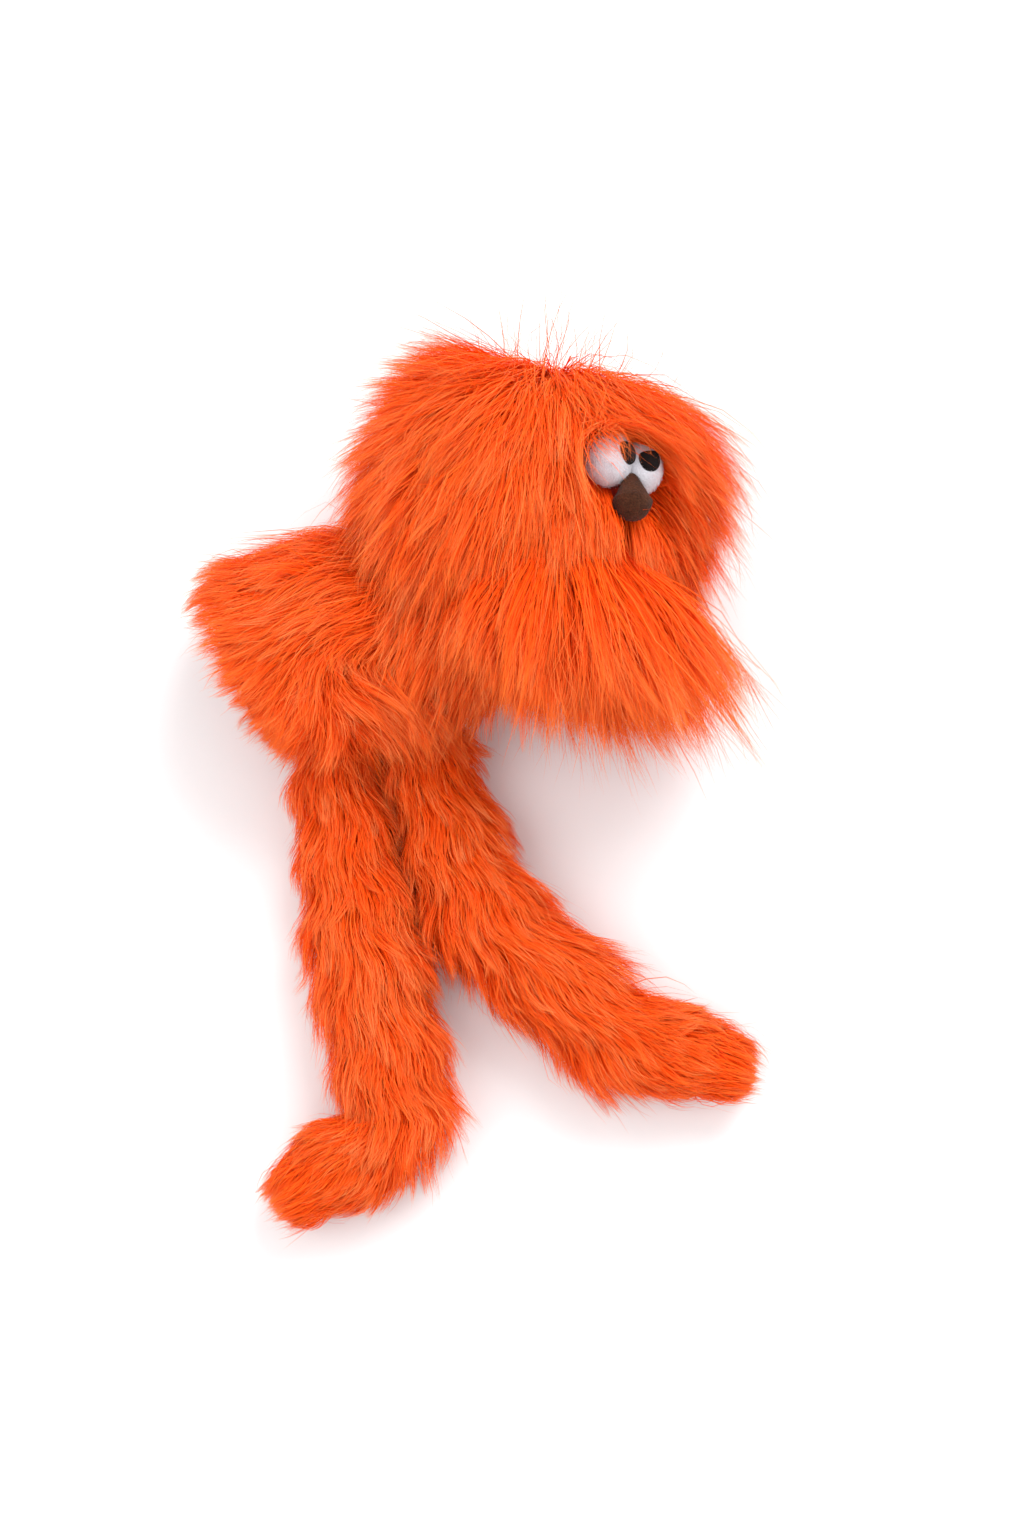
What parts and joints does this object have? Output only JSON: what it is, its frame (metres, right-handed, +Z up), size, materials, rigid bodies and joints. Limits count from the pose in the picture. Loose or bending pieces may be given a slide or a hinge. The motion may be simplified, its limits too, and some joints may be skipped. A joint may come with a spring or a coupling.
{
  "type": "moving mouth puppet",
  "caption": "Shaggy orange fur hand puppet creature with a hinged mouth, plush eyes, felt nose and two long jointed fur legs, lying flat.",
  "frame": {"origin": "on the surface the puppet lies on, under the middle of the torso", "axes": "+Z up, +Y from the feet towards the crown of the head, +X towards the side that the face looks to"},
  "size_m": [0.2881, 0.4738, 0.1687],
  "materials": {
    "orange_fur": "long-pile shaggy fur, bright orange",
    "foam": "carved soft foam",
    "stuffing": "polyester fibre stuffing",
    "lining": "woven cotton lining, dark orange",
    "cuff_knit": "ribbed elastic knit",
    "mouth_board": "stiff fibre board",
    "mouth_felt": "dark red felt",
    "eye_white": "white short-pile plush",
    "pupil_felt": "black felt",
    "nose_felt": "brown felt",
    "webbing": "woven cotton tape"
  },
  "bodies": {
    "torso": {"torso_fur_top": "orange_fur", "torso_fur_bottom": "orange_fur", "torso_padding": "stuffing", "sleeve_lining": "lining", "hand_cuff": "cuff_knit", "left_hip_tape": "webbing", "right_hip_tape": "webbing"},
    "neck": {"neck_fur": "orange_fur", "neck_lining": "lining"},
    "head": {"head_fur": "orange_fur", "skull_foam": "foam", "upper_mouth_board": "mouth_board", "upper_mouth_lining": "mouth_felt", "finger_pocket": "lining", "mouth_hinge_tape": "webbing", "left_eye": "eye_white", "right_eye": "eye_white", "left_pupil": "pupil_felt", "right_pupil": "pupil_felt", "nose": "nose_felt"},
    "jaw": {"beard_fur": "orange_fur", "jaw_foam": "foam", "lower_mouth_board": "mouth_board", "lower_mouth_lining": "mouth_felt", "thumb_pocket": "lining"},
    "left_thigh": {"left_thigh_fur": "orange_fur", "left_thigh_stuffing": "stuffing", "left_knee_tape": "webbing"},
    "left_shin": {"left_shin_fur": "orange_fur", "left_shin_stuffing": "stuffing", "left_ankle_tape": "webbing"},
    "left_foot": {"left_foot_fur": "orange_fur", "left_foot_stuffing": "stuffing"},
    "right_thigh": {"right_thigh_fur": "orange_fur", "right_thigh_stuffing": "stuffing", "right_knee_tape": "webbing"},
    "right_shin": {"right_shin_fur": "orange_fur", "right_shin_stuffing": "stuffing", "right_ankle_tape": "webbing"},
    "right_foot": {"right_foot_fur": "orange_fur", "right_foot_stuffing": "stuffing"}
  },
  "joints": [
    {"name": "neck_swing", "type": "hinge", "parent": "torso", "child": "neck", "pos_m": [0.03463, 0.01065, 0.048], "axis": [0, 0, 1], "range_deg": [-10, 10]},
    {"name": "head_nod", "type": "hinge", "parent": "neck", "child": "head", "pos_m": [0.08218, 0.0261, 0.051], "axis": [-0.7431, 0, 0.6691], "range_deg": [-8, 10]},
    {"name": "mouth_open", "type": "hinge", "parent": "head", "child": "jaw", "pos_m": [0.12068, 0.033, 0.08097], "axis": [0.7431, 0, -0.6691], "range_deg": [0, 30]},
    {"name": "left_hip", "type": "hinge", "parent": "torso", "child": "left_thigh", "pos_m": [0.0069, -0.05934, 0.0235], "axis": [-1, 0, 0], "range_deg": [0, 38]},
    {"name": "left_knee", "type": "hinge", "parent": "left_thigh", "child": "left_shin", "pos_m": [0.02496, -0.16176, 0.0235], "axis": [0, 0, 1], "range_deg": [-45, 6]},
    {"name": "left_ankle", "type": "hinge", "parent": "left_shin", "child": "left_foot", "pos_m": [0.04746, -0.2592, 0.0235], "axis": [0, 0, 1], "range_deg": [-12, 28]},
    {"name": "right_hip", "type": "hinge", "parent": "torso", "child": "right_thigh", "pos_m": [0.0516, -0.04482, 0.0235], "axis": [-1, 0, 0], "range_deg": [0, 38]},
    {"name": "right_knee", "type": "hinge", "parent": "right_thigh", "child": "right_shin", "pos_m": [0.08546, -0.14315, 0.0235], "axis": [0, 0, 1], "range_deg": [-18, 25]},
    {"name": "right_ankle", "type": "hinge", "parent": "right_shin", "child": "right_foot", "pos_m": [0.15739, -0.21262, 0.0235], "axis": [0, 0, 1], "range_deg": [-28, 30]}
  ]
}
